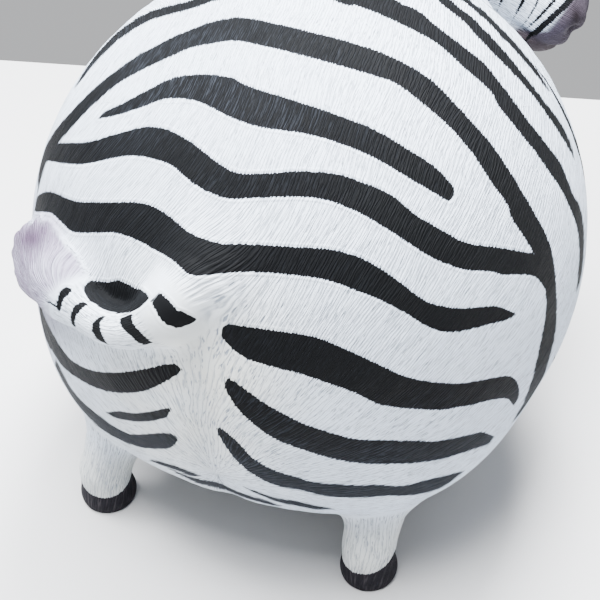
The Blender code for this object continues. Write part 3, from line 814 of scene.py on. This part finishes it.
# Bands of the tail as outlines where they are seen; the mane in blocks; rings across the face;
# dark ear tips; hooves up to a hair line that dips at the heel.
TAIL_MARKS = (
    ((160, 292), (170, 301), (176, 309), (186, 313), (197, 320), (190, 325), (182, 328),
     (176, 328), (167, 325), (160, 319), (157, 313), (153, 307), (151, 301)),
    ((84, 287), (89, 280), (98, 281), (107, 282), (119, 280), (127, 283), (135, 288), (141, 289),
     (147, 294), (150, 298), (145, 303), (138, 309), (127, 313), (119, 314), (110, 312),
     (101, 309), (95, 304), (89, 301), (86, 296), (84, 291)),
    ((119, 318), (124, 316), (132, 313), (132, 321), (136, 327), (141, 333), (147, 338),
     (153, 343), (145, 345), (138, 343), (133, 338), (127, 333), (122, 328), (120, 322)),
    ((108, 315), (101, 316), (96, 319), (92, 324), (91, 331), (96, 338), (101, 342), (109, 345),
     (106, 341), (102, 335), (100, 329), (100, 322), (104, 318)),
    ((88, 305), (86, 302), (80, 302), (74, 306), (71, 312), (70, 319), (72, 325), (76, 329),
     (75, 322), (76, 316), (80, 311), (84, 307)),
    ((73, 290), (71, 287), (64, 287), (59, 292), (57, 301), (56, 309), (60, 313), (62, 305),
     (64, 299), (67, 296)),
    ((38, 291), (49, 299), (60, 308), (59, 311), (48, 302)),
)
on_tail = np.flatnonzero(np.isin(owner, ("tail", "tuft", "body")) & (facing > 0.0))
for mark in TAIL_MARKS:
    draw(on_tail, seen_at[on_tail], np.array(mark),
         lambda at: outline_depth(at, mark) / UNITS_PER_MM, DRAWN_MARGIN)

in_head = (plain - SKULL) @ HEAD_AXES / HEAD_LENGTH
head_side, head_ahead, head_high = in_head[:, 0], -in_head[:, 1], in_head[:, 2]
FACE_RINGS = (            # ahead, slope, half width, and how low it fades out
    (0.436, -0.19, 0.0100, -0.11), (0.497, -0.10, 0.0060, -0.11), (0.540, 0.10, 0.0075, -0.11),
    (0.574, 0.12, 0.0150, -0.18), (0.365, -0.30, 0.0120, -0.11), (0.290, -0.42, 0.0110, -0.11))
RING_FADE, RING_WAVE, RING_BEAT, RING_SHIFT = 0.17, 0.010, 24.0, 40.0
CHEEK_RINGS = ((0.120, -0.55, 0.0170), (0.020, -0.60, 0.0200), (-0.085, -0.55, 0.0200))
CHEEK_FROM, CHEEK_TO = 0.06, 0.16
HEAD_MM = 1000 * HEAD_LENGTH
on_face = np.flatnonzero(np.isin(owner, ("head", "eyes")))
face_side, face_ahead, face_high = (at[on_face] for at in (head_side, head_ahead, head_high))
for ahead, slope, half, low in FACE_RINGS:
    wave = RING_WAVE * np.sin(RING_BEAT * face_side + RING_SHIFT * ahead)
    off = np.abs(face_ahead - ahead - slope * face_high - wave)
    darken(on_face, HEAD_MM * (half * eased(face_high, low, low + RING_FADE) - off))
cheek = np.clip((np.abs(face_side) - CHEEK_FROM) / (CHEEK_TO - CHEEK_FROM), 0.0, 1.0)
for ahead, slope, half in CHEEK_RINGS:
    darken(on_face, HEAD_MM * (half * cheek - np.abs(face_ahead - ahead - slope * face_high)))
NECK_BANDS, NECK_HALF = (0.014, 0.027, 0.040), 2.6        # metres along, and half width in mm
NECK_WAVE, NECK_BEAT = 0.0015, 90.0
on_neck = np.flatnonzero(owner == "neck")
_, neck_along, _ = path_flow(plain[on_neck], neck_path, 1.0)
neck_along -= NECK_WAVE * np.sin(NECK_BEAT * plain[on_neck, 2])
for along in NECK_BANDS:
    darken(on_neck, NECK_HALF - 1000 * np.abs(neck_along - along))
MANE_BLOCK, MANE_BLACK = 0.0135, 0.15         # one black and one white block, black the wider
MANE_SOFT = 6.0           # the more, the softer the blocks' edges
on_mane = np.flatnonzero(owner == "mane")
_, mane_along, _ = path_flow(plain[on_mane], crest, 1.0)
stripe[on_mane] = 1000 * MANE_BLOCK / MANE_SOFT * (
    MANE_BLACK + np.sin(2 * np.pi * mane_along / MANE_BLOCK))
EAR_TIP = 0.74            # share of the ear's length at which its black tip begins
on_ears = np.flatnonzero(owner == "ears")
for side, (ear_root, lean) in ear_runs.items():
    mine = on_ears[np.sign(head_side[on_ears]) == side]
    stripe[mine] = 1000 * ((plain[mine] - ear_root) @ lean - EAR_TIP * EAR_LENGTH)
EYE_BLACK = 0.6
darken(owner == "eyes", EYE_BLACK)

hoof_paint = np.full(len(spots), NO_PAINT)    # millimetres below the hair line
HAIR_LINE, HAIR_RISE = 0.0068, 0.0050         # at the heel, and how much higher at the toe
HAIR_TURN = 110.0         # degrees from the heel at which the line stops rising
for leg, (ground, axis, heel_way) in leg_runs.items():
    mine = np.flatnonzero(owner == leg)
    off = plain[mine] - ground
    away = np.abs((np.degrees(np.arctan2(off[:, 0], off[:, 1])) - heel_way + 180) % 360 - 180)
    line = HAIR_LINE + HAIR_RISE * np.minimum(away / HAIR_TURN, 1.0) ** 2
    hoof_paint[mine] = 1000 * (line - plain[mine, 2])

# Soft patches of other paint, each a share from nought to one at every point: warm white, washes
# of lilac and plum, dry brushing over black, muzzle, chin and lips, and grey painted shade in the
# creases and hollows and over the shadowed left hind leg.
SPOTS = {                 # x, y, width and height in picture units, and how strong
    "lip": ((576, 16, 6, 12, 0.9),), "warm": ((195, 385, 95, 105, 1.0),),
    "dry": ((190, 85, 130, 75, 1.0),), "plum": ((30, 239, 15, 15, 1.0), (49, 230, 13, 13, 0.40)),
    "lilac": ((28, 240, 17, 17, 1.0), (46, 226, 24, 24, 0.9), (50, 315, 26, 26, 0.55),
              (75, 262, 30, 30, 0.25)),
    # The grey spots are painted shade: on the left hind leg, which stands in shadow, and in the hollow
    # under the tail root.
    "grey": ((110, 474, 26, 26, 0.9), (203, 302, 14, 14, 0.6))}
SPOT_TURNED, WASH_TURNED = -0.1, -0.2         # cosines past which a spot isn't laid on
# Where paints begin and where they cover: on the head in its lengths, else in metres.
MUZZLE_AHEAD, MUZZLE_SLOPE = (0.575, 0.615), 0.9
CHIN_AHEAD, CHIN_BELOW, LIP_AHEAD = (0.44, 0.52), (0.06, 0.10), (0.56, 0.63)
LIP_WIDE, NOSTRIL_WIDE, FOLD_WIDE = 0.0011, 0.0020, 0.0016
FOLD_SHADE, CLEFT_SHADE, CLEFT_SHADE_WIDE, CLEFT_BACK = 0.6, 0.5, 0.0045, (0.06, 0.08)
TUFT_LEAD, TUFT_OUT = (-0.0006, 0.0016), (-0.004, 0.012)
WARM_LOW, WARM_DOWN = 0.8, (-0.032, -0.014)               # the belly is warm too
DRY_DOWN, DRY_UNSEEN = (350.0, 470.0), 0.4                # in picture units


def spots_of(name):
    """The painted spots of one name: each one's share at every point, as rows."""
    return np.array([strength * seen_spot(*where) for *where, strength in SPOTS[name]])


def on_head_only(share):
    """A share that only the head takes."""
    return np.where(np.isin(owner, ("head", "eyes")), share, 0.0)


muzzle_paint = on_head_only(eased(head_ahead + MUZZLE_SLOPE * np.maximum(-head_high, 0.0),
                                  *MUZZLE_AHEAD))
chin_paint = on_head_only(eased(head_ahead, *CHIN_AHEAD) * eased(-head_high, *CHIN_BELOW))
lip_paint = on_head_only(np.exp(-(cut_gaps["mouth"] / LIP_WIDE) ** 2) * eased(head_ahead, *LIP_AHEAD)
                         + np.exp(-(cut_gaps["nostril"] / NOSTRIL_WIDE) ** 2)
                         + spots_of("lip")[0]).clip(0.0, 1.0)
on_tuft = owner == "tuft"
not_tuft = np.sort(gaps[groups != "tuft"], 0)
fan_lead = not_tuft[0] - gaps[groups == "tuft"][0]
fan_way = np.linalg.norm(plain - tuft_root, axis=1)
lilac_paint = np.maximum(eased(fan_lead, *TUFT_LEAD) * eased(fan_way, *TUFT_OUT),
                         spots_of("lilac").max(0) * (facing > SPOT_TURNED) * (on_rump | on_tuft))
plum_paint = spots_of("plum").sum(0) * on_tuft
gloss_paint = (owner == "eyes") * 1.0
warm_paint = np.maximum(spots_of("warm")[0] * (facing > WASH_TURNED),
                        WARM_LOW * eased(-plain[:, 2], *WARM_DOWN))
dry_paint = np.where(facing > WASH_TURNED,
                     np.maximum(spots_of("dry")[0], eased(seen_at[:, 1], *DRY_DOWN)), DRY_UNSEEN)
# Painted shade: grey laid in the creases where one form meets another, down the cleft under the tail,
# and on the grey spots.
shade = FOLD_SHADE * np.exp(-np.maximum(np.where(on_tuft, FAR, not_tuft[1]), 0.0) / FOLD_WIDE)
shade = np.maximum(shade, CLEFT_SHADE * np.exp(-(plain[:, 0] / CLEFT_SHADE_WIDE) ** 2)
                   * (owner == "body") * eased(plain[:, 1], *CLEFT_BACK))
shade = np.maximum(shade, spots_of("grey").max(0) * (facing > SPOT_TURNED))
# The strokes fade out where the flow of one group meets another's, between these leads.
CALM_LEAD = (0.0002, 0.0014)
SAME_FLOW = {"haunches": "body", "tail_root": "body", "eyes": "head"}
flows = np.array([SAME_FLOW.get(group, group) for group in MELT])
nearest = np.sort([gaps[flows == flow].min(0) for flow in np.unique(flows)], 0)
calm = eased(nearest[1] - nearest[0], *CALM_LEAD)


def linear(hex_colour):
    """An sRGB hex colour as linear light: (c + 0.055) / 1.055 to the power 2.4, c / 12.92 low."""
    c = np.array([int(hex_colour[k:k + 2], 16) for k in (1, 3, 5)]) / 255.0
    c = np.where(c > 0.04045, ((c + 0.055) / 1.055) ** 2.4, c / 12.92)
    return (*c.tolist(), 1.0)


def add_node(tree, kind, inputs=None, **settings):
    """Adds a node, sets its options, and links or sets each named or numbered input."""
    made = tree.nodes.new(kind)
    for name, value in settings.items():
        setattr(made, name, value)
    for socket, value in (inputs or {}).items():
        if isinstance(value, bpy.types.NodeSocket):
            tree.links.new(value, made.inputs[socket])
        else:
            made.inputs[socket].default_value = value
    return made


# Hand-painted cast resin: matt acrylic over polyester resin, brushed along the carved hair. White
# catches a thin grey wash in the strokes, black is dry-brushed so that the stroke tops go bluish.
# The grey is both the wash caught in the carved strokes and the painted shade laid in creases and
# hollows.
WHITE_COAT, WARM_WHITE, GREY_WASH_AND_SHADE = "#c9d4e3", "#cfd0c9", "#7c848f"
BLACK_COAT, DRY_BRUSHED = "#08090b", "#2b2f36"
LILAC, PLUM, HOOF, HOOF_WORN = "#72677e", "#44364a", "#1e1d22", "#3a373b"
MUZZLE, CHIN, LIP = "#403b48", "#3d363a", "#1a1519"
RELIEF, RELIEF_DEEP = 0.80, 0.00045           # how strongly the strokes are cut, and how deep
resin = bpy.data.materials.new("hand_painted_resin")
resin.use_nodes = True
tree = resin.node_tree
shader = tree.nodes["Principled BSDF"]
for name, value in (("Metallic", 0.0), ("IOR", 1.49), ("Specular IOR Level", 0.07)):
    shader.inputs[name].default_value = value             # chalky matt paint over the resin


def kept(name, socket="Fac"):
    """The value that each point of the skin keeps under a name."""
    return add_node(tree, "ShaderNodeAttribute", attribute_name=name).outputs[socket]


def mixed(share, first, second):
    """One colour over another by a share."""
    return add_node(tree, "ShaderNodeMix", {0: share, 6: first, 7: second},
                    data_type="RGBA").outputs[2]


def ramped(value, low, high, to_low=0.0, to_high=1.0):
    """A value carried from one range to another, eased at both ends."""
    return add_node(tree, "ShaderNodeMapRange",
                    {"Value": value, "From Min": low, "From Max": high, "To Min": to_low,
                     "To Max": to_high}, interpolation_type="SMOOTHSTEP").outputs[0]


def worked(operation, *values):
    """One step of arithmetic on values."""
    return add_node(tree, "ShaderNodeMath", dict(enumerate(values)), operation=operation).outputs[0]


def plus(first, second):
    """The sum of two values."""
    return worked("ADD", first, second)


def times(first, second):
    """The product of two values."""
    return worked("MULTIPLY", first, second)


def handed_over(share, first, second):
    """One value going over to another by a share that the points keep."""
    return add_node(tree, "ShaderNodeMix", {0: kept(share), 2: first, 3: second},
                    data_type="FLOAT").outputs[0]


def strokes_of(detail, scale, seed):
    """Noise stretched along the strokes, in two widths that hand over to each other."""
    return handed_over("strokes_share", *(
        add_node(tree, "ShaderNodeTexNoise",
                 {"Vector": kept(name, "Vector"), "W": seed, "Scale": scale, "Detail": detail,
                  "Roughness": 0.6}, noise_dimensions="4D").outputs[0]
        for name in ("strokes_a", "strokes_b")))


hair = strokes_of(1.5, 0.95, 0.0)
hair_fine = strokes_of(1.0, 2.9, 4.0)
COMB_PUSH = 16.0          # even lines side by side are pushed to and fro by the stroke noise
GREY_IN_CUTS, GREY_IN_SHADE, PLUM_IN_CUTS, PLUM_ON_TOP = 0.72, 0.45, 0.55, 0.95
CHIN_BLOTCHES = 0.5       # shares of one paint that show over another
DRY_LEAST, STREAK_MOST = 0.12, 0.6
LOW_UP, HIGH_UP, BLUE_LOW = 0.040, 0.080, 0.42            # black turns bluish near the floor
RAGGED, COMB_RAGGED, HOOF_RAGGED = 0.9, 0.12, 2.0         # how far edges stray, in millimetres
GLOSS_SMOOTH, GLOSS_FLAT = 0.42, 0.95                     # how much smoother the eyes are
COMB_CUT, HAIR_CUT, RIDGE_RISE = -0.19, -0.9, 0.22        # shares of the relief's depth
comb = handed_over("lines_share", *(worked("SINE", plus(kept(name), times(hair, COMB_PUSH)))
                                    for name in ("lines_a", "lines_b")))
objects_at = add_node(tree, "ShaderNodeTexCoord").outputs["Object"]
clouds = add_node(tree, "ShaderNodeTexNoise", {"Vector": objects_at, "Scale": 45.0, "Detail": 3.0}
                  ).outputs[0]
cut_lines = plus(times(ramped(comb, 0.35, 1.0), ramped(hair_fine, 0.64, 0.44)),
                 ramped(hair_fine, 0.55, 0.66, 0.0, 1.5))
cut_lines = times(cut_lines, kept("calm"))
warm_share = times(kept("warm"), ramped(clouds, 0.30, 0.60, 0.5, 1.0))
white = mixed(warm_share, linear(WHITE_COAT), linear(WARM_WHITE))
white = mixed(times(cut_lines, GREY_IN_CUTS), white, linear(GREY_WASH_AND_SHADE))
# Painted shade: grey laid over the white in the creases, the cleft and the shaded spots.
white = mixed(times(kept("shade"), GREY_IN_SHADE), white, linear(GREY_WASH_AND_SHADE))
lilac = mixed(times(cut_lines, PLUM_IN_CUTS), linear(LILAC), linear(PLUM))
white = mixed(times(kept("lilac"), ramped(hair, 0.2, 0.7, 0.72, 1.0)), white, lilac)
white = mixed(times(kept("plum"), PLUM_ON_TOP), white, linear(PLUM))
face = mixed(times(ramped(clouds, 0.35, 0.65), CHIN_BLOTCHES), linear(MUZZLE), linear(CHIN))
white = mixed(kept("muzzle"), white, face)
white = mixed(kept("chin"), white, linear(CHIN))
worn = times(ramped(clouds, 0.36, 0.62, 0.35, 1.0), plus(kept("dry"), DRY_LEAST))
streaks = plus(ramped(hair_fine, 0.56, 0.68, 0.0, STREAK_MOST),
               times(ramped(comb, 0.2, 0.9), ramped(hair_fine, 0.38, 0.54, 0.0, STREAK_MOST)))
place_up = add_node(tree, "ShaderNodeSeparateXYZ", {0: objects_at}).outputs[2]
brushed = plus(times(times(streaks, worn), kept("calm")),
               ramped(place_up, HIGH_UP, LOW_UP, 0.0, BLUE_LOW))
black = mixed(brushed, linear(BLACK_COAT), linear(DRY_BRUSHED))
astray = worked("SUBTRACT", hair_fine, 0.5)
ragged = plus(times(astray, RAGGED), times(comb, COMB_RAGGED))
edge = plus(kept("stripe"), ragged)
coat = mixed(ramped(edge, -0.12, 0.14), white, black)
coat = mixed(kept("lip"), coat, linear(LIP))
hoof_colour = mixed(ramped(hair, 0.50, 0.68), linear(HOOF), linear(HOOF_WORN))
hoof_edge = plus(kept("hoof"), times(astray, HOOF_RAGGED))
coat = mixed(ramped(hoof_edge, -0.15, 0.15), coat, hoof_colour)
rough = ramped(clouds, 0.3, 0.7, 0.66, 0.78)
rough = worked("SUBTRACT", rough, times(kept("gloss"), GLOSS_SMOOTH))
tree.links.new(coat, shader.inputs["Base Color"])
tree.links.new(rough, shader.inputs["Roughness"])
height = plus(times(comb, COMB_CUT), times(hair_fine, HAIR_CUT))
ridge = times(ramped(kept("stripe"), -1.3, -0.7), ramped(kept("stripe"), -0.1, -0.6))
height = times(height, kept("calm"))
height = plus(height, times(ridge, RIDGE_RISE))
height = times(height, worked("SUBTRACT", 1.0, times(kept("gloss"), GLOSS_FLAT)))
relief = add_node(tree, "ShaderNodeBump",
                  {"Height": height, "Strength": RELIEF, "Distance": RELIEF_DEEP})
tree.links.new(relief.outputs[0], shader.inputs["Normal"])

# The casting shared out. The skin is cut into five parts that meet edge to edge and keep the
# whole skin's shading, so each stays light enough to hand on; all stand for the one solid.
KEPT = {"stripe": stripe, "warm": warm_paint, "dry": dry_paint, "lilac": lilac_paint,
        "plum": plum_paint, "shade": shade, "muzzle": muzzle_paint, "chin": chin_paint,
        "lip": lip_paint, "gloss": gloss_paint, "hoof": hoof_paint, "calm": calm,
        "strokes_share": strokes_share, "lines_a": lines_a, "lines_b": lines_b,
        "lines_share": lines_share}
KEPT_VECTORS = {"strokes_a": strokes_a, "strokes_b": strokes_b}
whole = bpy.data.meshes.new("whole")
whole.from_pydata(spots.tolist(), [], faces.tolist())
shading = np.empty(len(spots) * 3)
whole.vertex_normals.foreach_get("vector", shading)
shading = shading.reshape(-1, 3)
bpy.data.meshes.remove(whole)
centre = spots[faces].mean(1)
of_head = np.isin(owner[faces[:, 0]], ("head", "eyes", "ears", "mane", "neck"))
behind = centre[:, 1] > MIDDLE[1]
leftward = centre[:, 0] > 0
SHARES = {"rump_left": ~of_head & behind & leftward, "rump_right": ~of_head & behind & ~leftward,
          "shoulder_left": ~of_head & ~behind & leftward,
          "shoulder_right": ~of_head & ~behind & ~leftward, "head_and_mane": of_head}
for name, chosen in SHARES.items():
    used, local = np.unique(faces[chosen], return_inverse=True)
    mesh = bpy.data.meshes.new(name)
    mesh.from_pydata(spots[used].tolist(), [], local.reshape(-1, 4).tolist())
    mesh.shade_smooth()
    for key, values in KEPT.items():
        mesh.attributes.new(key, "FLOAT", "POINT").data.foreach_set(
            "value", values[used].astype(np.float32))
    for key, values in KEPT_VECTORS.items():
        mesh.attributes.new(key, "FLOAT_VECTOR", "POINT").data.foreach_set(
            "vector", values[used].astype(np.float32).ravel())
    mesh.normals_split_custom_set_from_vertices(shading[used].tolist())
    mesh.materials.append(resin)
    piece = linked(name, mesh)
    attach(piece, "root")
    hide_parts("zebra")
    print(name, len(local) // 2, "triangles")

# The stand: a pale matt table top that ends behind the figure, with a plain grey room beyond it.
TABLE_NEAR = ((-1.6, 1.9), (1.7, 1.9))
TABLE_EDGE = ((1.70, 0.2315), (-1.60, -0.5825))
TABLE_THICK = 0.022
rim = np.array([TABLE_EDGE[1], TABLE_EDGE[0], TABLE_NEAR[1], TABLE_NEAR[0]])
top = np.column_stack([rim, np.zeros(4)])
slab = bpy.data.meshes.new("table_top")
slab.from_pydata(np.vstack([top, top - [0, 0, TABLE_THICK]]).tolist(), [],
                 [(0, 1, 2, 3), (7, 6, 5, 4), (0, 4, 5, 1), (1, 5, 6, 2), (2, 6, 7, 3),
                  (3, 7, 4, 0)])
painted_board = bpy.data.materials.new("painted_board")
painted_board.use_nodes = True
board = painted_board.node_tree.nodes["Principled BSDF"]
board.inputs["Base Color"].default_value = linear("#bdbdbe")
board.inputs["Roughness"].default_value = 0.6
slab.materials.append(painted_board)
table_top = linked("table_top", slab)

# The light: an even grey room, and four soft lamps above the front, the middle, the back and the
# left side of the figure, all aimed at its body.
ROOM_GREY, ROOM_STRENGTH = "#abacae", 1.45
LAMP_COLOUR = (0.97, 0.983, 1.0)
LAMP_AIM = np.array([0.0, 0.02, 0.05])
LAMPS = {                 # place, size in metres and watts
    "front_lamp": ((0.0, -0.30, 0.85), 0.30, 34.0), "top_lamp": ((0.10, 0.06, 0.88), 0.50, 26.0),
    "back_lamp": ((0.0, 0.30, 0.85), 0.30, 13.0), "left_lamp": ((0.45, 0.02, 0.70), 0.30, 12.0)}
room = bpy.data.worlds.new("grey_room")
bpy.context.scene.world = room
room.use_nodes = True
room.node_tree.nodes["Background"].inputs[0].default_value = linear(ROOM_GREY)
room.node_tree.nodes["Background"].inputs[1].default_value = ROOM_STRENGTH


def set_down(thing, at, right, over, back):
    """Puts a thing at a place, with its own three axes along three headings."""
    turned = np.eye(4)
    turned[:3] = np.column_stack([right, over, back, at])
    thing.matrix_world = Matrix(turned.tolist())


for name, (at, size, watts) in LAMPS.items():
    light = bpy.data.lights.new(name, "AREA")
    light.size = size
    light.energy = watts
    light.color = LAMP_COLOUR
    way = unit(LAMP_AIM - at)
    side = unit(np.cross(way, [0.0, 1.0, 0.0]))
    set_down(linked(name, light), at, side, np.cross(side, way), -way)

# The camera, at the eye point that the stripes were drawn from.
SENSOR = 36.0             # millimetres across the picture
lens = bpy.data.cameras.new("camera")
lens.sensor_width = SENSOR
lens.lens = EYE_LONG * SENSOR / (2 * PICTURE_HALF)
lens.clip_start = 0.01
camera = linked("camera", lens)
set_down(camera, EYE_POINT, EYE_RIGHT, EYE_UP, -EYE_AHEAD)
bpy.context.scene.camera = camera
